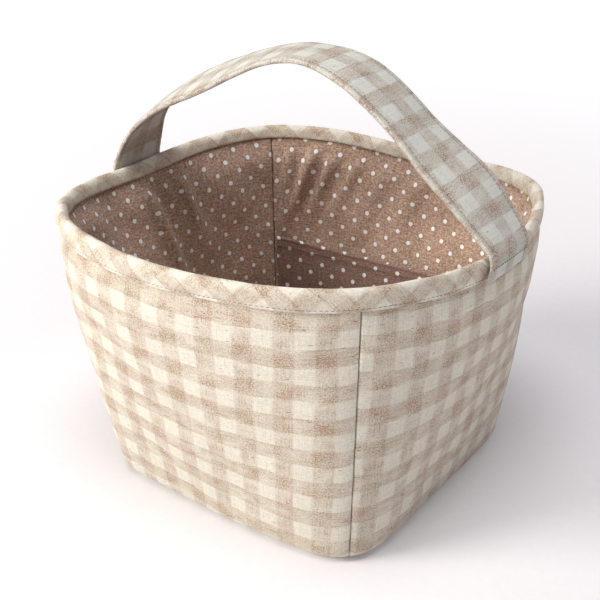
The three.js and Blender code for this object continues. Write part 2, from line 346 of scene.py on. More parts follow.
def stitches(name, middles, along, out, dash, material):
    """A row of thread dashes in one mesh; each rises out of the cloth and dives back in."""
    length, width = dash
    turn = np.arange(STITCH_SIDES) / STITCH_SIDES * 2 * math.pi
    points, faces, uvs = [], [], []
    for n, (middle, t, o) in enumerate(zip(middles, along, out)):
        side = np.cross(t, o)
        faces += ring_faces(STITCH_STEPS, STITCH_SIDES, len(points))
        slant = 0.10 * math.sin(2.4 * n) + 0.05 * math.sin(7.7 * n)
        t = t + side * slant
        size = length * (1 + 0.10 * math.sin(5.1 * n))
        for i in range(STITCH_STEPS):
            s = 2 * i / (STITCH_STEPS - 1) - 1
            thick = width / 2 * math.sqrt(max(1 - abs(s) ** 3 * STITCH_TAPER, 0.0))
            lift = width * STITCH_RISE * (1 - s * s) - STITCH_SINK
            centre = middle + t * (s * size / 2) + o * lift
            for k, a in enumerate(turn):
                points.append(centre + side * (thick * math.cos(a))
                              + o * (thick * STITCH_FLATNESS * math.sin(a)))
                uvs.append((s * size / 2 + n * length, k * width * 0.4))
    return face_outwards(make_mesh(name, np.array(points), faces, np.array(uvs), material))


def along_path(path, pitch, start=0.0, closed=False):
    """Places at an even pitch along a path of points: fractional indices into the path."""
    run = arc_lengths(path)
    count = int(round((run[-1] - 2 * start) / pitch))
    if closed:
        at = np.arange(count) / count * run[-1]
    else:
        at = start + (np.arange(count) + 0.5) / count * (run[-1] - 2 * start)
    return np.interp(at, run, np.arange(len(path)))


def pick(rows, places):
    """The rows of an array at fractional indices."""
    low = np.clip(np.floor(places).astype(int), 0, len(rows) - 2)
    part = (places - low)[:, None]
    return rows[low] * (1 - part) + rows[low + 1] * part


def stitch_places(path, places):
    """The stitches' middles and directions at places along a path."""
    return pick(path, places), unit(pick(np.gradient(path, axis=0), places))


# ---- cloth simulation ----

SIM_SCALE = 0.01
SIM_FRAMES = 24
SIM_CAP = 2.2
SIM_STRIDE = 3  # the fine grid's columns and rows to one of the simulated mesh
SIM_HOLD = 0.3  # how firmly the wadding keeps the cloth in place
SIM_SMOOTHINGS = 4
SIM_CLOTH = {
    "quality": 6, "mass": 0.3, "air_damping": 4.0, "tension_stiffness": 20,
    "compression_stiffness": 20, "shear_stiffness": 8, "bending_stiffness": 10.0,
    "vertex_group_mass": "held", "pin_stiffness": 1.0, "use_pressure": True,
}


def coarse_places(grid):
    """Indices of a wall grid's columns and rows that make an even mesh to simulate."""
    columns, rows = grid.shape[:2]
    edge = len(SEAM_STEPS) - 1
    across = [0] + list(range(edge, columns - edge, SIM_STRIDE)) + [columns - 1]
    up = list(range(0, rows - 2, SIM_STRIDE)) + [rows - 1]
    return np.array(across), np.array(up)


def spread_back(moved, across, up, shape):
    """Movement of the coarse mesh's points, spread smoothly over the whole grid."""
    out = np.zeros(shape)
    columns, rows = np.arange(shape[0]), np.arange(shape[1])
    for k in range(3):
        part = np.stack([np.interp(rows, up, line) for line in moved[..., k]])
        out[..., k] = np.stack([np.interp(columns, across, line) for line in part.T], axis=1)
    for _ in range(SIM_SMOOTHINGS):
        out[1:-1] = (out[:-2] + 2 * out[1:-1] + out[2:]) / 4
        out[:, 1:-1] = (out[:, :-2] + 2 * out[:, 1:-1] + out[:, 2:]) / 4
    return out


def hang(start, slack, push):
    """One sheet with its cloth settings, held at its edges and more softly between them."""
    columns, rows = start.shape[:2]
    mesh = bpy.data.meshes.new("drape")
    mesh.from_pydata((start.reshape(-1, 3) * SIM_SCALE).tolist(), [], grid_faces(columns, rows))
    sheet = add_object("drape", mesh)
    group = sheet.vertex_groups.new(name="held")
    weight = np.full((columns, rows), SIM_HOLD)
    weight[[0, -1]] = 1.0
    weight[:, [0, 1, -3, -2, -1]] = 1.0
    for k, w in enumerate(weight.ravel()):
        group.add([k], float(w), "REPLACE")
    cloth = sheet.modifiers.new("cloth", "CLOTH")
    cloth.point_cache.frame_end = SIM_FRAMES
    for key, value in SIM_CLOTH.items():
        setattr(cloth.settings, key, value)
    cloth.settings.shrink_min = -slack
    cloth.settings.uniform_pressure_force = push
    cloth.collision_settings.use_collision = False
    cloth.collision_settings.use_self_collision = False
    return sheet


def drape(grids, softs, slack, push):
    """Simulates sheets of cloth sewn down at their edges over soft wadding, all together.
    Softs is how far they stand out already, slack the spare cloth, and push how hard the
    wadding presses it outwards. Gives each grid's movement, which is capped."""
    grids = [grid + grid_normals(grid) * soft[..., None] for grid, soft in zip(grids, softs)]
    scene = bpy.context.scene
    gravity = scene.use_gravity
    scene.use_gravity = False
    places = [coarse_places(grid) for grid in grids]
    starts = [grid[across][:, up] for grid, (across, up) in zip(grids, places)]
    sheets = [hang(start, slack, push) for start in starts]
    for number in range(1, SIM_FRAMES + 1):
        scene.frame_set(number)
    graph = bpy.context.evaluated_depsgraph_get()
    moves = []
    for grid, sheet, start, (across, up) in zip(grids, sheets, starts, places):
        result = sheet.evaluated_get(graph).data
        place = np.empty(len(result.vertices) * 3)
        result.vertices.foreach_get("co", place)
        moved = place.reshape(start.shape) / SIM_SCALE - start
        size = np.linalg.norm(moved, axis=-1, keepdims=True)
        moved *= SIM_CAP * np.tanh(size / SIM_CAP) / np.maximum(size, 1e-6)
        moves.append(spread_back(moved, across, up, grid.shape))
    for sheet in sheets:
        bpy.data.meshes.remove(sheet.data)
    scene.frame_set(1)
    scene.use_gravity = gravity
    return moves


# ---- materials ----

class Shader:
    """Builds one node material; u and v are the cloth's own millimetres, turned by degrees."""

    def __init__(self, name, roughness, sheen=0.0, angle=0.0):
        self.material = bpy.data.materials.new(name)
        self.material.use_nodes = True
        self.tree = self.material.node_tree
        self.surface = self.tree.nodes["Principled BSDF"]
        for key, value in (("Roughness", roughness), ("Specular IOR Level", 0.25),
                           ("Sheen Weight", sheen), ("Sheen Roughness", 0.6)):
            self.surface.inputs[key].default_value = value
        uv = self.put("ShaderNodeUVMap", uv_map="cloth").outputs[0]
        turned = self.put("ShaderNodeMapping", [
            ("Vector", uv), ("Rotation", (0, 0, math.radians(angle)))]).outputs[0]
        self.u, self.v, _ = self.put("ShaderNodeSeparateXYZ", [(0, turned)]).outputs

    def put(self, kind, values=(), **settings):
        node = self.tree.nodes.new(kind)
        for key, value in settings.items():
            setattr(node, key, value)
        for key, value in values:
            if isinstance(value, bpy.types.NodeSocket):
                self.tree.links.new(value, node.inputs[key])
            else:
                node.inputs[key].default_value = value
        return node

    def math(self, operation, *values):
        return self.put("ShaderNodeMath", enumerate(values), operation=operation).outputs[0]

    def plus(self, total, *values):
        for value in values:
            total = self.math("ADD", total, value)
        return total

    def times(self, total, *values):
        for value in values:
            total = self.math("MULTIPLY", total, value)
        return total

    def line(self, value, slope, start):
        return self.math("MULTIPLY_ADD", value, slope, start)

    def grain(self, per_u, per_v, detail, seed, *spread):
        """Noise from about 0.2 to 0.8 with its own number of features per millimetre each way,
        spread where limits are given."""
        place = self.put("ShaderNodeCombineXYZ", [
            (0, self.times(self.u, per_u)), (1, self.times(self.v, per_v)), (2, seed)]).outputs[0]
        noisy = self.put("ShaderNodeTexNoise", [
            ("Vector", place), ("Scale", 1.0), ("Detail", detail)]).outputs[0]
        return self.spread(noisy, *spread) if spread else noisy

    def spread(self, value, low, high, to_low=0.0, to_high=1.0):
        return self.put("ShaderNodeMapRange", [
            (0, value), (1, low), (2, high), (3, to_low), (4, to_high)]).outputs[0]

    def mix(self, factor, first, second):
        colors = [c if isinstance(c, bpy.types.NodeSocket) else (*c, 1.0) for c in (first, second)]
        return self.put("ShaderNodeMix", zip((0, 6, 7), [factor] + colors),
                        data_type="RGBA").outputs[2]

    def tint(self, color, *tints):
        """Lays colours over one another; each tint is [how much, code]."""
        for amount, code in tints:
            color = self.mix(amount, color, srgb(code))
        return color

    def finish(self, color, height, depth_mm, strength=1.0):
        """Links the colour, and a bump whose full height is depth_mm."""
        bump = self.put("ShaderNodeBump", [
            ("Strength", strength), ("Distance", depth_mm * MM), ("Height", height)])
        self.tree.links.new(color, self.surface.inputs["Base Color"])
        self.tree.links.new(bump.outputs[0], self.surface.inputs["Normal"])
        return self.material


def srgb(code):
    """A linear colour from a six-digit code."""
    parts = [int(code[i:i + 2], 16) / 255 for i in (0, 2, 4)]
    return tuple(c / 12.92 if c < 0.04045 else ((c + 0.055) / 1.055) ** 2.4 for c in parts)


THREAD_PITCH = 0.85
CHECK = 10.0
WEAVE_DEPTH = 0.30
WEAVE_STRENGTH = 0.9


def yarns(s):
    """Weft and warp streaks, the over-and-under of a plain weave, and slubs."""
    weft = s.grain(0.10, 1.7, 2.0, 1.0)
    warp = s.grain(1.7, 0.10, 2.0, 9.0)
    turn = 2 * math.pi / THREAD_PITCH
    over = s.times(s.math("SINE", s.times(s.u, turn)), s.math("SINE", s.times(s.v, turn)))
    return weft, warp, s.spread(over, -1.0, 1.0), s.grain(0.055, 0.9, 0.0, 4.0, 0.60, 0.78)


def gingham(name, angle=0.0, light="F3EFE0", dark="B09272", strength=0.88, grey=0.32):
    """Linen gingham: cream and beige stripes both ways, mottled by its uneven yarns."""
    s = Shader(name, 0.9, 0.15, angle)
    weft, warp, over, slub = yarns(s)
    wander = s.line(s.grain(0.045, 0.045, 1.0, 2.0), 2.4, -1.2)

    def wave(along, ragged):
        shift = s.plus(wander, s.line(ragged, 1.3, -0.65))
        return s.math("SINE", s.times(s.plus(along, shift), math.pi / CHECK))

    column = s.spread(wave(s.u, s.grain(0.0, 1.4, 0.0, 3.0)), -0.23, 0.23)
    row_wave = wave(s.v, s.grain(1.4, 0.0, 0.0, 5.0))
    row = s.spread(row_wave, -0.15, 0.15)
    row_tone = s.times(row, s.spread(weft, 0.30, 0.70, 0.22, 0.72),
                       s.grain(0.08, 1.3, 2.0, 21.0, 0.36, 0.66, 0.78, 1.20))
    column_tone = s.times(column, s.spread(warp, 0.30, 0.70, 0.20, 0.64),
                          s.grain(1.3, 0.08, 2.0, 22.0, 0.36, 0.66, 0.74, 1.30))
    speckle = s.grain(1.3, 1.3, 2.0, 7.0, 0.34, 0.67, 0.26, 1.56)
    patch = s.grain(0.08, 0.13, 1.0, 8.0, 0.3, 0.7, 0.50, 1.34)
    both = s.plus(row_tone, column_tone, s.times(row_tone, column_tone, -0.55))
    both = s.times(both, speckle, patch, strength)

    fine = s.grain(1.5, 1.2, 2.0, 13.0, 0.34, 0.66)
    streak = s.spread(s.math("MINIMUM", weft, warp), 0.25, 0.55, 1.0, 0.0)
    mottle = s.plus(s.times(s.grain(0.6, 0.6, 3.0, 12.0, 0.34, 0.68), fine),
                    s.times(streak, 0.8))
    blush = s.grain(0.05, 0.07, 2.0, 23.0, 0.46, 0.66)
    edge = s.spread(s.math("ABSOLUTE", row_wave), 0.02, 0.12, 1.0, 0.0)
    broken = s.grain(0.035, 0.5, 1.0, 15.0, 0.52, 0.64)
    fleck = s.grain(0.7, 1.3, 2.0, 14.0, 0.62, 0.74)
    blot = s.times(s.grain(0.30, 0.42, 2.0, 19.0, 0.60, 0.74), both)
    dark_slub = s.grain(0.20, 1.2, 0.0, 17.0, 0.815, 0.840)
    color = s.tint(
        s.mix(s.math("MINIMUM", both, 1.0), srgb(light), srgb(dark)),
        (s.times(mottle, grey), "A08E74"),
        (s.times(blush, s.line(both, 0.4, 0.03)), "BC9484"),
        (s.times(edge, broken, 0.56), "8A6A50"),
        (s.times(fleck, s.line(both, 0.9, 0.06)), "7A5242"),
        (s.times(blot, s.spread(fine, 0.2, 0.8, 0.3, 1.1)), "98705A"),
        (s.times(dark_slub, 0.75), "4E3526"))
    height = s.plus(s.times(over, 0.6), s.plus(s.times(weft, 0.7), s.times(warp, 0.6)),
                    s.times(s.plus(slub, fine), 0.4))
    return s.finish(color, height, WEAVE_DEPTH, WEAVE_STRENGTH)


DOT_ACROSS = 16.4
DOT_DOWN = 12.8
DOT_RADIUS = 1.45
DOT_BLUR = 0.25


def dotted(name, dark="9A7866", pale="EED1B9"):
    """Natural brown linen with white dots in rows, each row half a step along from the last."""
    s = Shader(name, 0.92, 0.15)
    weft, warp, over, slub = yarns(s)

    def from_dot(shift):
        total = 0.0
        for along, step in ((s.u, DOT_ACROSS), (s.v, DOT_DOWN)):
            place = s.math("WRAP", s.plus(along, shift * step), step / 2, -step / 2)
            total = s.math("MULTIPLY_ADD", place, place, total)
        return s.math("SQRT", total)

    ragged = s.line(s.grain(1.1, 1.1, 2.0, 3.0), 0.9, -0.45)
    distance = s.plus(s.math("MINIMUM", from_dot(0.0), from_dot(0.5)), ragged)
    dot = s.spread(distance, DOT_RADIUS - DOT_BLUR, DOT_RADIUS + DOT_BLUR, 1.0, 0.0)
    worn = s.spread(s.times(weft, warp), 0.12, 0.38, 0.90, 1.0)
    tone = s.plus(s.spread(weft, 0.3, 0.7, 0.0, 0.5), s.spread(warp, 0.3, 0.7, 0.0, 0.5))
    color = s.tint(
        s.mix(tone, srgb(dark), srgb(pale)),
        (s.grain(0.55, 0.8, 4.0, 11.0, 0.38, 0.62, 0.0, 0.55), "644A3C"),
        (s.times(s.grain(0.5, 1.8, 1.0, 6.0, 0.64, 0.76), 0.5), "E6D0BC"),
        (s.times(s.grain(0.7, 1.1, 1.0, 16.0, 0.63, 0.70), 0.75), "4C3830"),
        (s.spread(distance, DOT_RADIUS + 0.2, DOT_RADIUS + 0.8, 0.34, 0.0), "4C3830"),
        (s.times(dot, worn), "FFFEFA"))
    height = s.plus(s.times(over, 0.6), s.plus(s.times(weft, 0.6), s.times(warp, 0.6)),
                    s.times(s.plus(slub, dot), 0.35))
    return s.finish(color, height, WEAVE_DEPTH, WEAVE_STRENGTH)


TWIST_PITCH = 0.45


def thread(name, code):
    """Spun sewing thread: a fine diagonal twist and a little fuzz."""
    s = Shader(name, 0.75, 0.2)
    twist = s.math("SINE", s.times(s.plus(s.u, s.v), 2 * math.pi / TWIST_PITCH))
    twist = s.spread(twist, -1.0, 1.0)
    fuzz = s.grain(2.0, 2.0, 2.0, 1.0, 0.3, 0.7, 0.5, 1.0)
    dark = tuple(0.6 * c for c in srgb(code))
    return s.finish(s.mix(s.times(twist, fuzz), dark, srgb(code)), twist, 0.08, 0.6)


def fleece(name, code):
    """Matted white fibres."""
    s = Shader(name, 0.95, 0.3)
    mat = s.plus(s.grain(0.5, 0.5, 6.0, 1.0), s.grain(2.5, 0.4, 3.0, 5.0))
    mat = s.spread(mat, 0.7, 1.3)
    dark = tuple(0.82 * c for c in srgb(code))
    return s.finish(s.mix(mat, dark, srgb(code)), mat, 0.8, 0.7)


def floor_paper(name):
    """Pale paper that glows more the further it is from the basket."""
    s = Shader(name, 0.95)
    tooth = s.grain(0.2, 0.2, 3.0, 1.0)
    color = s.mix(s.spread(tooth, 0.3, 0.7), (0.78, 0.77, 0.79), (0.76, 0.75, 0.77))
    s.surface.inputs["Emission Color"].default_value = (1.0, 1.0, 1.0, 1.0)
    distance = s.math("SQRT", s.math("MULTIPLY_ADD", s.u, s.u, s.times(s.v, s.v)))
    glow = s.spread(distance, 250.0, 1300.0, 0.10, 0.72)
    s.tree.links.new(glow, s.surface.inputs["Emission Strength"])
    return s.finish(color, tooth, 0.05, 0.1)


# ---- pieces on the tub ----

def on_tub(piece, slot, *nodes):
    """The piece rides on the tub, and stands for CAD nodes, which are hidden; slot is not used."""
    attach(piece, "basket")
    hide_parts(*nodes)
    return piece


SEAM_ROLL = 0.85
SEAM_TUCK = 0.7
SEAM_GROOVE = 0.3


def seam_roll(distance, size=SEAM_ROLL):
    """How deep cloth goes as it turns into a seam, at a distance from the seam's line."""
    near = np.clip(1 - distance / size, 0, 1)
    roll = SEAM_ROLL * (1 - np.sqrt(1 - near ** 2))
    return roll + SEAM_TUCK * np.clip(1 - (distance - SEAM_STEPS[0]) / SEAM_GROOVE, 0, 1)


def seam_distance(grid):
    across = arc_lengths(grid)
    return SEAM_STEPS[0] + np.minimum(across, across[-1:] - across)


def pushed(grid, amount, move=0.0):
    """The grid moved along its normals, with any other movement, as the settled tub has it."""
    return settle(grid + grid_normals(grid) * amount[..., None] + move)


def add_panel(layer, side, grid, out, move, uv, material, slot):
    """A wall panel of cloth, a sheet one cloth's thickness deep."""
    piece = slab(f"{layer}_{side}_cloth", pushed(grid, out, move),
                 pushed(grid, out - CLOTH, move), uv, material)
    on_tub(piece, slot, f"{layer}_{side}_panel")


def uv_grid(u, v):
    return np.stack(np.broadcast_arrays(u, v), axis=-1)


def wall_uv(grid, shift=(0, 0), lean=0.0, slope=0.0, scale=1.0):
    """u runs across the panel and v down from the rim, in the cloth's own millimetres.
    The cloth's columns lean, and its rows slope, by so much a millimetre."""
    across = arc_lengths(grid)
    up = arc_lengths(grid, 1)
    length = up[:, -1:].mean()
    u = across - across[-1:] / 2
    v = length * (1 - up / up[:, -1:])
    return np.stack([u * scale - v * lean + shift[0], v - u * slope + shift[1]], axis=-1)


# ---- outer walls and wadding ----

OUTER_BELOW = 3.0
OUTER_SLACK, OUTER_PUSH = 0.012, 0.8
# Each wall's shift, lean, slope and scale of the gingham
PANEL_UV = {
    "front": ((-0.4, -7.0), 0.0, 0.0, 0.985),
    "right": ((7.6, -1.6), 0.07, 0.028, 0.94),
    "back": ((6.0, 2.0), 0.01, -0.01, 1.0),
    "left": ((-4.0, 3.0), -0.02, 0.01, 1.0),
}
FRONT_STRETCH = 1.04
FRONT_LIFT = 6.5 / 110
SEAM_RISE = 2.0


def front_uv(grid):
    """The front panel's columns run beside its right-hand seam, and its rows lift at its foot."""
    shift, _, _, scale = PANEL_UV["front"]
    v = wall_uv(grid, *PANEL_UV["front"])[..., 1]
    across = arc_lengths(grid)
    from_seam = across[-1:] - across
    lift = FRONT_LIFT * ramp(from_seam, 60, 150) * v
    down = FRONT_STRETCH * v + lift + SEAM_RISE * beside(from_seam, 7)
    return np.stack([shift[0] - from_seam * scale, down], axis=-1)


def outer_soft(grid, side):
    """How far the outer cloth stands out from its plain shape, in millimetres."""
    seam = seam_distance(grid)
    up = arc_lengths(grid, 1)
    below_top = up[:, -1:] + OUTER_BELOW - up
    hem = np.maximum(below_top - BINDING_DROP + WALL_TOP_BELOW_CREST, 0)
    seed = list(WALLS).index(side)
    swell = 1.2 * away(seam, 14) * away(up, 18) * away(hem, 5)
    slow = waves(grid, (1.1, 62, seed), (0.45, 26, seed + 5))
    calm = away(seam, 10) * away(hem, 8) * away(up, 10)
    pucker = waves(grid * [1, 1, 2.4], (0.45, 19, seed + 9)) * beside(seam, 9)
    gather = waves(grid * [2.2, 2.2, 0.6], (0.35, 17, seed + 13)) * beside(hem, 7)
    hidden = ramp(hem, 0, 3)
    return (swell + slow * calm + pucker + gather) * hidden - 0.25 * (1 - hidden)


def add_outer_walls(material):
    grids = [wall_grid(middle, 0, below=OUTER_BELOW) for middle in WALLS.values()]
    softs = [outer_soft(grid, side) for grid, side in zip(grids, WALLS)]
    moves = drape(grids, softs, OUTER_SLACK, OUTER_PUSH)
    for side, grid, soft, move in zip(WALLS, grids, softs, moves):
        out = soft - seam_roll(seam_distance(grid))
        uv = front_uv(grid) if side == "front" else wall_uv(grid, *PANEL_UV[side])
        add_panel("outer", side, grid, out, move, uv, material, "gingham_cloth")


WADDING = {"columns": 60, "rows": 50, "edge_rows": 8, "below": 9.0,
           "margin": 3.6 / CORNER_RADIUS}


def add_waddings(material):
    for side, middle in WALLS.items():
        front = wall_grid(middle, CLOTH + GAP, **WADDING)
        back = wall_grid(middle, LINING_DEPTH - 3 * GAP, **WADDING)
        tuft = waves(front, (0.25, 9, 31))
        soft = outer_soft(front, side) * 0.9 - np.abs(tuft) - 0.5
        round_off = seam_roll(seam_distance(front) * 0.8) * 0.5
        press = rim_press(back[..., 2], back[:, -1:, 2] + 6.8)
        skin = front + grid_normals(front) * (soft - round_off)[..., None]
        back = pushed(back, -(0.5 * tuft - round_off * 0.6 - press))
        piece = slab(f"wadding_{side}_fleece", settle(skin), back, wall_uv(skin), material)
        on_tub(piece, "wadding", f"wadding_{side}")


# ---- lining ----

LINING_UV = {"front": (2.0, 3.0), "right": (5.0, 7.0), "back": (-0.8, 1.6), "left": (4.1, 5.0)}
LINING_BELOW = 2.2
LINING_SLACK, LINING_PUSH = 0.018, -0.9
LINING_TUCK, LINING_ROLL = 2.1, 4.6  # how deep it goes into a corner seam, and from where
LINING_OUT = 0.5  # the most that the simulation may move it towards the wadding
# Soft folds in the lining: [wall, place across from its left-hand seam seen from inside,
# height at its middle, length up and down, width, how far it stands in, sideways lean]
FOLDS = [
    ("back", 23, 134, 23, 4.4, 8.0, 0.40), ("back", 37, 134, 21, 5.4, 5.4, 0.44),
    ("back", 8, 122, 36, 3.4, 3.0, 0.10), ("back", 56, 136, 22, 5.0, 3.4, 0.50),
    ("back", 78, 136, 20, 6.5, 2.2, 0.50), ("back", 104, 136, 24, 7.5, 2.4, 0.55),
    ("left", 92, 120, 48, 5.0, 4.6, -0.12), ("left", 118, 134, 30, 6.0, 2.8, -0.12),
    ("right", 70, 132, 30, 6.0, 1.6, -0.12), ("right", 120, 138, 22, 5.0, 1.2, -0.12),
    ("front", 60, 130, 34, 6.0, 1.8, -0.12), ("front", 130, 136, 24, 5.0, 1.3, -0.12),
]
RIM_PRESS = 3.1


def rim_press(height, crest):
    """How far the binding's stitching presses the lining outwards, just below the crest."""
    return RIM_PRESS * ramp(height - crest, -21.0, -2.0)


def lining_soft(grid, side):
    """How far the lining stands into the basket from its plain shape, in millimetres."""
    z = grid[..., 2]
    seam = seam_distance(grid)
    seed = list(WALLS).index(side) + 20
    across = arc_lengths(grid)
    from_left = across[-1:] - across
    calm = away(seam, 9) * away(arc_lengths(grid, 1), 9)
    high = ramp(z, 40, 150)
    soft = waves(grid, (1.5, 55, seed)) + waves(grid * [1, 1, 0.45], (0.9, 24, seed + 5))
    soft = 0.9 + soft * calm * (0.6 + 0.6 * high)
    soft += waves(grid * [1, 1, 2.0], (0.5, 16, seed + 9)) * beside(seam, 8) * high
    clear = ramp(z[:, -1:] - z, 6, 17)
    for wall, place, height, tall, wide, proud, slant in FOLDS:
        if wall == side:
            off = from_left - (place + slant * (z - height))
            fold = bell(off, np.where(off < 0, 0.6 * wide, 1.25 * wide))
            trough = bell(off - 1.7 * wide, wide)
            soft += proud * clear * (fold - 0.4 * trough) * bell(z - height, tall)
    return np.maximum(soft, 0.0)


def add_linings(material):
    grids = [wall_grid(middle, LINING_DEPTH, below=LINING_BELOW) for middle in WALLS.values()]
    presses = [rim_press(grid[..., 2], grid[:, -1:, 2]) for grid in grids]
    softs = [press - lining_soft(grid, side) * (1 - 0.6 * press / RIM_PRESS)
             for grid, side, press in zip(grids, WALLS, presses)]
    moves = drape(grids, softs, LINING_SLACK, LINING_PUSH)
    for side, grid, soft, press, move in zip(WALLS, grids, softs, presses, moves):
        tuck = LINING_TUCK * seam_roll(seam_distance(grid), LINING_ROLL)
        tuck = tuck * (1 - 0.75 * press / RIM_PRESS)
        normal = grid_normals(grid)
        outwards = (move * normal).sum(-1)
        move = move - normal * np.maximum(outwards - LINING_OUT, 0)[..., None]
        move = move * ramp(grid[:, -1:, 2] - grid[..., 2], 4, 13)[..., None]
        add_panel("lining", side, grid, tuck + soft, move, wall_uv(grid, LINING_UV[side]),
                  material, "dotted_lining")


# ---- base ----

BASE_COLUMNS = 61
BASE_UV = [3.0, 6.0]


def base_grid(height, inset):
    """A square grid of points pressed to the base's outline, at one height."""
    side = np.linspace(-1, 1, BASE_COLUMNS)
    side = 0.7 * side + 0.3 * np.sin(QUARTER * side)
    x, y = np.meshgrid(side, side, indexing="ij")
    theta = np.arctan2(y, x)
    reach = np.maximum(np.abs(x), np.abs(y))
    return polar(theta, reach * (base_edge(theta) - inset), height), reach


def add_base(outer, fleecy, lining):
    # Piece, node, slot, material, lowest and highest, inset, crown, share of the waves
    layers = [
        ("outer_base_cloth", "outer_base_panel", "gingham_cloth", outer,
         BASE_LOW[2], BASE_HIGH[2], GAP + 0.2, 0, 1),
        ("base_stiffener_fleece", "base_stiffener", "wadding", fleecy,
         STIFF_LOW[2] + 0.2, STIFF_HIGH[2] - 0.2, GAP + 1.2, 0, 0),
        ("lining_base_cloth", "lining_base_panel", "dotted_lining", lining,
         LINING_LOW[2], LINING_HIGH[2], GAP + 0.2, 0.6, 1),
    ]
    for k, (name, node, slot, material, low, high, inset, crown, wavy) in enumerate(layers):
        grid, reach = base_grid(low, inset)
        wave = 0.25 * (1 + field(grid, 40, 50 + k)) * (1 - reach ** 6)
        rise = crown * (1 - reach ** 4) + wavy * wave
        front = settle(grid + [0, 0, 1] * rise[..., None])
        back = front + [0, 0, high - low]
        piece = face_outwards(slab(name, front, back, grid[..., :2] + BASE_UV, material))
        on_tub(piece, slot, node)


# ---- rim binding ----

BINDING_STEPS = 720
BIAS_REPEAT = 2 * CHECK * math.sqrt(2)
BINDING_FACE = 1.35  # how far the binding lies outside the wall's face
BINDING_GROOVE = 1.30
BINDING_INNER = THICKNESS - RIM_PRESS


def rim_angles():
    """Angles all round the rim at an even spacing along its crest, and the way round."""
    fine = np.linspace(0, 2 * math.pi, 4001)
    run = arc_lengths(polar(fine, wall_radius(fine, crest_height(fine), 0), crest_height(fine)))
    return np.interp(np.arange(BINDING_STEPS) / BINDING_STEPS * run[-1], run, fine), run[-1]


def binding_outline():
    """The folded strip's outline: [depth inside the wall's outer face, height below the crest]."""
    outside, inside = -BINDING_FACE, BINDING_INNER + 1.4
    middle, half = (outside + inside) / 2, (inside - outside) / 2
    shoulder = 3.6
    outer_leg = np.array([[-0.60, BINDING_DROP + 0.05], [-1.10, BINDING_DROP + 0.15],
                          [-1.35, BINDING_DROP - 0.05], [-1.42, BINDING_DROP - 0.35],
                          [-1.40, STITCH_DROP + 0.55], [-1.30, STITCH_DROP + 0.22],
                          [-1.26, STITCH_DROP - 0.15], [-1.50, STITCH_DROP - 0.7],
                          [-1.85, 7.4], [-1.80, 6.4], [-1.62, 5.4]])
    turn = np.linspace(math.pi, 0, 15)
    fold = np.stack([middle + (half + 0.15) * np.cos(turn), shoulder * (1 - np.sin(turn))], axis=1)
    inner_leg = np.array([[inside + 0.35, 5.4], [inside + 0.40, INSIDE_DROP - 1.0],
                          [inside + 0.15, INSIDE_DROP - 0.2], [inside - 0.45, INSIDE_DROP],
                          [inside - 1.0, INSIDE_DROP - 0.4], [inside - 0.95, 5.6]])
    turn = turn[::-1][1:-1]
    hollow = np.stack([middle + (half - 1.0) * np.cos(turn),
                       1.0 + (shoulder - 1.0) * (1 - np.sin(turn)) + 0.1], axis=1)
    back = np.array([[-0.45, 5.6], [-0.42, 8.0], [-0.42, STITCH_DROP]])
    return np.concatenate([outer_leg, fold, inner_leg, hollow, back])


def binding_points(theta, outline):
    """Points of the binding's outline at each angle, with the cloth's softness in them."""
    circle = polar(theta, 1, 0) * RIM_WIDTH / 2
    crest = waves(circle, (0.7, 48, 61), (0.35, 17, 62))[:, None]
    hem = waves(circle, (0.55, 55, 63), (0.25, 15, 64))[:, None]
    depth, below = outline[None, :, 0], outline[None, :, 1]
    share = ramp(below, 2.0, STITCH_DROP)
    angle = theta[:, None]
    height = crest_height(angle) - below + crest * (1 - share) + hem * share
    points = polar(angle, wall_radius(angle, height, depth), height)
    puff = waves(points * [1, 1, 0.7], (0.42, 13, 65)) + waves(points, (0.32, 6.5, 66))
    outward = np.sign(BINDING_INNER / 2 - depth)
    shell = (depth < -0.7) | (depth > BINDING_INNER + 1.0) | (below < 1.0)
    push = (puff * (1 - bell(below - STITCH_DROP, 0.9)) - 0.05) * outward * shell
    return settle(points + polar(angle, 1, 0) * push[..., None])


def add_binding(material, thread_material):
    theta, around = rim_angles()
    outline = binding_outline()
    over = arc_lengths(np.concatenate([outline, outline[:1]]))
    repeats = round(around / BIAS_REPEAT)
    along = np.arange(BINDING_STEPS + 1) / BINDING_STEPS * repeats * BIAS_REPEAT
    piece = tube("rim_binding_cloth", binding_points(theta, outline),
                 uv_grid(along[:, None], over), material, wrap=True)
    on_tub(piece, "bias_binding", "rim_binding")

    path = binding_points(theta, np.array([[-BINDING_GROOVE, STITCH_DROP]]))[:, 0]
    path = np.concatenate([path, path[:1]])
    middles, forward = stitch_places(path, along_path(path, STITCH_PITCH, closed=True))
    row = stitches("binding_stitch_row", middles, forward, unit(np.cross(forward, [0, 0, 1.0])),
                   BINDING_DASH, thread_material)
    on_tub(row, "sewing_thread", "binding_stitching")


# ---- pocket ----

HEM = 8.6
POCKET_STITCH = 7.0
POCKET_UV = ((6.4, 7.5), 0.0, 0.02)


def pocket_surface(theta, height, extra):
    """Points of the pocket, extra millimetres nearer the middle of the basket."""
    across = np.clip(np.abs(theta - WALLS["back"]) / (QUARTER / 2), 0, 1)
    up = (height - POCKET_BOTTOM) / (POCKET_TOP - POCKET_BOTTOM)
    mouth = (1 - across ** 3) * np.sqrt(np.clip(up, 0, 1))
    gape = GAP + 0.5 + (POCKET_GAPE - 0.5) * mouth
    flat = polar(theta, wall_radius(theta, height, THICKNESS), height)
    gape = gape + mouth * waves(flat, (1.0, 48, 71), (0.4, 18, 72))
    left = ramp(theta - WALLS["back"], 0.35 * QUARTER, 0.5 * QUARTER)
    droop = 1.6 * mouth * up - 2.2 * left * up
    return settle(polar(theta, wall_radius(theta, height, THICKNESS + gape + extra),
                        height - droop))


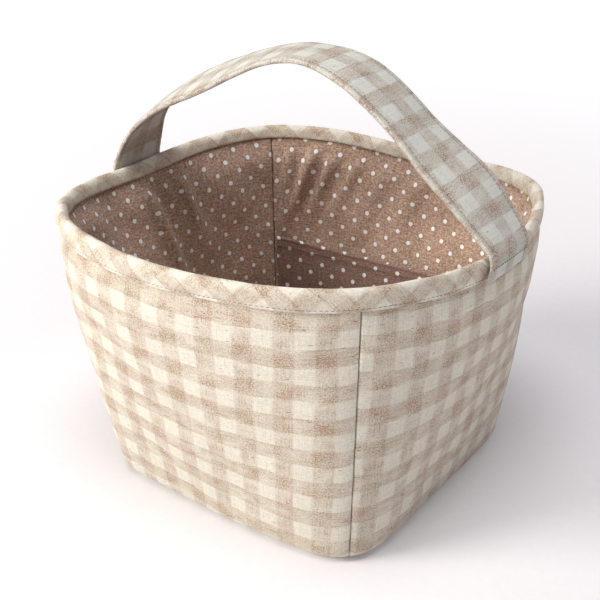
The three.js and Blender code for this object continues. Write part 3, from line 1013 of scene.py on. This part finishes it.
def add_pocket(material, thread_material):
    theta = wall_angles(WALLS["back"], 84, margin=1.2 / CORNER_RADIUS)[:, None]
    share = np.concatenate([np.linspace(0, 0.9, 50, endpoint=False), np.linspace(0.9, 1, 22)])
    height = POCKET_BOTTOM + (POCKET_TOP - POCKET_BOTTOM) * share[None]
    below = POCKET_TOP - height
    folded = 0.75 * ramp(below, HEM, HEM - 3.0) - 0.22 * bell(below - POCKET_STITCH, 0.7)
    lip = 0.5 * bell(below - 1.1, 0.9) - 0.45 * np.clip(1 - below / 0.9, 0, 1) ** 2
    ripple = waves(polar(theta, 90, height) * [1, 1, 0.3], (0.12, 5, 73)) * ramp(below, HEM, 0)
    front = pocket_surface(theta, height, -lip * 0.6)
    back = pocket_surface(theta, height, CLOTH + folded + lip + ripple)
    piece = slab("pocket_cloth", front, back, wall_uv(front, *POCKET_UV), material)
    on_tub(piece, "dotted_lining", "pocket_panel")

    angles = np.linspace(WALLS["back"] - 0.485 * QUARTER, WALLS["back"] + 0.485 * QUARTER, 400)
    path = pocket_surface(angles, POCKET_TOP - POCKET_STITCH, CLOTH + 0.62)
    middles, forward = stitch_places(path, along_path(path, STITCH_PITCH, start=1.0))
    row = stitches("pocket_stitch_row", middles, forward, unit(np.cross(forward, [0, 0, -1.0])),
                   POCKET_DASH, thread_material)
    on_tub(row, "pocket_thread", "pocket_hem_stitching")


# ---- strap ----

STRAP_STEP = 1.35
TAB_HEIGHTS = (TAB_LOW + 0.3, 151.0)
TOPSTITCH = STRAP_WIDTH / 2 - 3.5
STRAP_WAY = 40.0  # of cloth, from one edge to the other
STRAP_U = 4.0  # how far the gingham lies to one side
END_ROW = 7.6  # the row of thread's distance from the strap's end
END_FREE = (14, 60)
CORE_HALF = 15.2
CORE_WAY = 62.0
CORE_INSET = 9  # how many rings shorter the interfacing is at each end


def catmull_rom(points, step):
    """Centripetal Catmull-Rom curve through points, sampled at an even step along it."""
    p = np.array(points, float)
    p = np.concatenate([[2 * p[0] - p[1]], p, [2 * p[-1] - p[-2]]])
    fine = []
    for k in range(1, len(p) - 2):
        a, b, c, d = p[k - 1:k + 3]
        t1 = np.linalg.norm(b - a) ** 0.5
        t2 = t1 + np.linalg.norm(c - b) ** 0.5
        t3 = t2 + np.linalg.norm(d - c) ** 0.5
        t = np.linspace(t1, t2, 40, endpoint=False)[:, None]
        ab, bc, cd = (a + (b - a) * t / t1, b + (c - b) * (t - t1) / (t2 - t1),
                      c + (d - c) * (t - t2) / (t3 - t2))
        abc, bcd = ab + (bc - ab) * t / t2, bc + (cd - bc) * (t - t1) / (t3 - t1)
        fine.append(abc + (bcd - abc) * (t - t1) / (t2 - t1))
    fine = np.concatenate(fine + [p[-2:-1]])
    run = arc_lengths(fine)
    at = np.linspace(0, run[-1], int(run[-1] / step) + 1)
    return np.stack([np.interp(at, run, fine[:, k]) for k in range(fine.shape[1])], axis=1), at


def strap_frames():
    """The strap's middle line with its directions along, across and outwards."""
    tab = [[float(wall_radius(0.0, z, TAB_DEPTH)), z, 0.0] for z in TAB_HEIGHTS]
    left = [[-x, z, t] for x, z, t in tab]
    route, run = catmull_rom(left + STRAP_ROUTE + tab[::-1], STRAP_STEP)
    middle = np.stack([route[:, 0], 0 * run, route[:, 1]], axis=1)
    tilt = route[:, 2]
    along = unit(np.gradient(middle, axis=0))
    across = np.stack([-along[:, 2] * np.sin(tilt), np.cos(tilt), along[:, 0] * np.sin(tilt)],
                      axis=1)
    out = np.cross(along, across)
    share = run / run[-1]
    middle = middle + np.array([0, 1.0, 0]) * (3.2 * (1 - share) - 4.0 * share)[:, None]
    sway = run[:, None] * [1, 0, 0]
    free = ramp(run, *END_FREE) * ramp(run[-1] - run, *END_FREE)
    middle = middle + out * (waves(sway, (0.9, 70, 81)) * free)[:, None]
    twist = (waves(sway, (0.03, 90, 82)) * free)[:, None]
    return middle, along, unit(across + out * twist), unit(out - across * twist), run


def strap_outline():
    """Half of the strap's outline: places across it, from its front edge to its back edge."""
    half = STRAP_WIDTH / 2
    edge = np.array([0, 0.12, 0.4, 0.8, 1.3, 1.9, 2.4, 2.8, 3.15, 3.5, 3.85, 4.2, 4.7, 5.4, 6.4])
    inner = np.linspace(-half + 7.6, half - 7.6, 19)
    return np.concatenate([-half + edge, inner, (half - edge)[::-1]])


def strap_thickness(across):
    """Half the strap's thickness at places across it."""
    in_from_edge = STRAP_WIDTH / 2 - np.abs(across)
    rounding = np.sqrt(np.clip(1 - (1 - np.clip(in_from_edge / 1.35, 0, 1)) ** 2, 0, 1))
    sewn = 0.42 * bell(np.abs(across) - TOPSTITCH, 0.75)
    crown = 0.10 * (1 - (across / STRAP_HALF) ** 2)
    return (STRAP_THICKNESS / 2 - 0.12 - sewn) * rounding + crown


def on_strap(piece, slot, *nodes):
    """The piece stands for CAD nodes, which are hidden, and its transform is baked into its mesh;
    slot is not used."""
    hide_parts(*nodes)
    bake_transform(piece)
    return piece


def both_faces(top, bottom):
    """Rings round the strap from points on its two faces."""
    return np.concatenate([top, bottom[:, -2:0:-1]], axis=1)


def add_strap(material, core_material, thread_material, end_thread):
    middle, along, across, out, run = strap_frames()
    place = strap_outline()
    left = run[-1] - run
    flatten = 1 - 0.42 * (ramp(run, 15, 7) + ramp(left, 15, 7))
    end = np.minimum(run, left)[:, None]
    thick = strap_thickness(place)[None] * flatten[:, None]
    thick = thick * np.sqrt(np.clip(end / 0.9, 0.06, 1))
    cup = -0.9 * (place / STRAP_HALF) ** 2
    flare = 1 + 0.06 * ramp(run, run[-1] - 90, run[-1] - 25)
    grid = middle[:, None] + across[:, None] * (place[None] * flare[:, None])[..., None]
    wave = waves(grid, (0.35, 24, 83), (0.22, 9, 84))
    pucker = waves(grid, (0.16, 3.2, 85)) * bell(np.abs(place) - TOPSTITCH, 2.5)
    free = ramp(end, 10, 24)
    shift = cup[None] * free + wave * (0.25 + 0.75 * free)
    edge_wave = waves(grid, (0.45, 30, 86)) * (place / STRAP_HALF)[None] ** 3 * free
    grid = grid + across[:, None] * edge_wave[..., None]
    top = settle(grid + out[:, None] * (shift + thick + pucker)[..., None])
    bottom = settle(grid + out[:, None] * (shift - thick + pucker * 0.4)[..., None])
    turned = 2 * STRAP_WAY - (place[-2:0:-1] + STRAP_HALF)
    round_u = np.concatenate([place + STRAP_HALF, turned, [2 * STRAP_WAY]]) + STRAP_U
    piece = tube("strap_cloth", both_faces(top, bottom), uv_grid(round_u, run[:, None]), material)
    on_strap(piece, "strap_cloth", "handle_sleeve", "handle_end_left", "handle_end_right")

    inner = np.linspace(-CORE_HALF, CORE_HALF, 17)
    core_thick = 0.42 * np.sqrt(np.clip(1 - (inner / (CORE_HALF + 0.4)) ** 6, 0.02, 1))
    lift = np.stack([np.interp(inner, place, row) for row in shift])
    core = middle[:, None] + across[:, None] * inner[None, :, None]
    faces = [core + out[:, None] * (lift + half)[..., None] for half in (core_thick, -core_thick)]
    cut = slice(CORE_INSET, -CORE_INSET)
    round_u = np.concatenate([inner, CORE_WAY - inner[-2:0:-1], [CORE_WAY + 2]])
    piece = tube("strap_interfacing", settle(both_faces(*faces)[cut]),
                 uv_grid(round_u, run[cut, None]), core_material)
    on_strap(piece, "interfacing", "handle_interfacing")

    for side, sign in (("front", -1), ("back", 1)):
        column = int(np.argmin(np.abs(place - sign * TOPSTITCH)))
        rows = []
        for path, face in ((top[:, column], 1.0), (bottom[:, column], -1.0)):
            places = along_path(path[4:-4], STITCH_PITCH) + 4
            rows.append((pick(path, places), unit(pick(along, places)),
                         unit(pick(out, places)) * face))
        row = stitches(f"strap_stitch_row_{side}", *(np.concatenate(p) for p in zip(*rows)),
                       STRAP_DASH, thread_material)
        on_strap(row, "strap_thread", f"handle_topstitching_{side}")

    for side, distance in (("left", run), ("right", left)):
        near = int(np.argmin(np.abs(distance - END_ROW)))
        middles, forward = stitch_places(top[near], along_path(top[near], END_PITCH, start=1.6))
        row = stitches(f"strap_end_stitch_row_{side}", middles, forward,
                       np.broadcast_to(out[near], middles.shape), END_DASH, end_thread)
        on_tub(row, "sewing_thread", f"handle_end_stitching_{side}")


# ---- stage, camera and light ----

CAMERA_AZIMUTH = 34.4
CAMERA_ELEVATION = 24.2
CAMERA_DISTANCE = 641.0
CAMERA_LENS = 67.2
CAMERA_TARGET = np.array([0, 0, 100.0])
CAMERA_SHIFT = (-0.0124, -0.0101)
FLOOR_HALF = 40000.0
FLOOR_DROP = 0.2
# Azimuth, elevation, distance and size in metres, power, colour
LIGHTS = {
    "key": (-36, 27, 1.7, 0.8, 26.4, (1.0, 0.955, 0.89)),
    "top": (20, 76, 1.6, 0.8, 13, (1.0, 0.985, 0.98)),
    "rim": (155, 50, 1.6, 0.8, 3, (1.0, 1.0, 1.0)),
}


def aim(name, data, azimuth, elevation, distance):
    """A camera or light that looks at the basket's middle from an angle and distance."""
    a, e = math.radians(azimuth), math.radians(elevation)
    back = Vector((math.sin(a) * math.cos(e), -math.cos(a) * math.cos(e), math.sin(e)))
    made = add_object(name, data)
    made.location = Vector(CAMERA_TARGET * MM) + back * distance
    made.rotation_euler = back.to_track_quat("Z", "Y").to_euler()
    return made


def add_camera():
    data = bpy.data.cameras.new("camera")
    data.lens, data.sensor_width, data.clip_start = CAMERA_LENS, 36, 0.01
    data.shift_x, data.shift_y = CAMERA_SHIFT
    bpy.context.scene.camera = aim("camera", data, CAMERA_AZIMUTH, CAMERA_ELEVATION,
                                   CAMERA_DISTANCE * MM)


def add_lights():
    for name, (azimuth, elevation, distance, size, power, color) in LIGHTS.items():
        data = bpy.data.lights.new(name, "AREA")
        data.shape, data.size, data.energy, data.color = "DISK", size, power, color
        aim(name, data, azimuth, elevation, distance)
    world = bpy.data.worlds.new("studio")
    world.use_nodes = True
    background = world.node_tree.nodes["Background"]
    background.inputs["Color"].default_value = (0.96, 0.90, 1.0, 1)
    background.inputs["Strength"].default_value = 0.225
    bpy.context.scene.world = world
    bpy.context.scene.view_settings.view_transform = "Standard"


def add_floor():
    corners = np.array([(-1, -1, 0), (1, -1, 0), (1, 1, 0), (-1, 1, 0)]) * FLOOR_HALF
    make_mesh("floor", corners - [0, 0, FLOOR_DROP], [(0, 1, 2, 3)], corners[:, :2],
                       floor_paper("floor_paper"))


add_camera()
add_floor()
add_lights()
gingham_linen = gingham("gingham_linen")
dotted_linen = dotted("dotted_linen")
wadding_fleece = fleece("wadding_fleece", "F2EFE8")
add_outer_walls(gingham_linen)
add_waddings(wadding_fleece)
add_linings(dotted_linen)
add_base(gingham_linen, wadding_fleece, dotted_linen)
add_binding(gingham("bias_gingham", 45.0), thread("brown_thread", "AC8E74"))
# The pocket's linen is a darker, cooler copy of the lining's linen: painted shade, for the shadow
# that the front wall casts over the lower basket.
add_pocket(dotted("pocket_linen_painted_shade", "7A5E56", "B89888"), thread("pocket_thread", "B79A80"))
# The strap's gingham is a greyer, darker copy of the walls' gingham: painted shade, for the shade
# the strap lies in.
add_strap(gingham("strap_gingham_painted_shade", 0.0, "E0E3DB", "93795F", 0.86, 0.28),
          fleece("strap_interfacing", "ECEAE4"), thread("strap_thread", "A48E7A"),
          thread("end_thread", "7E6454"))
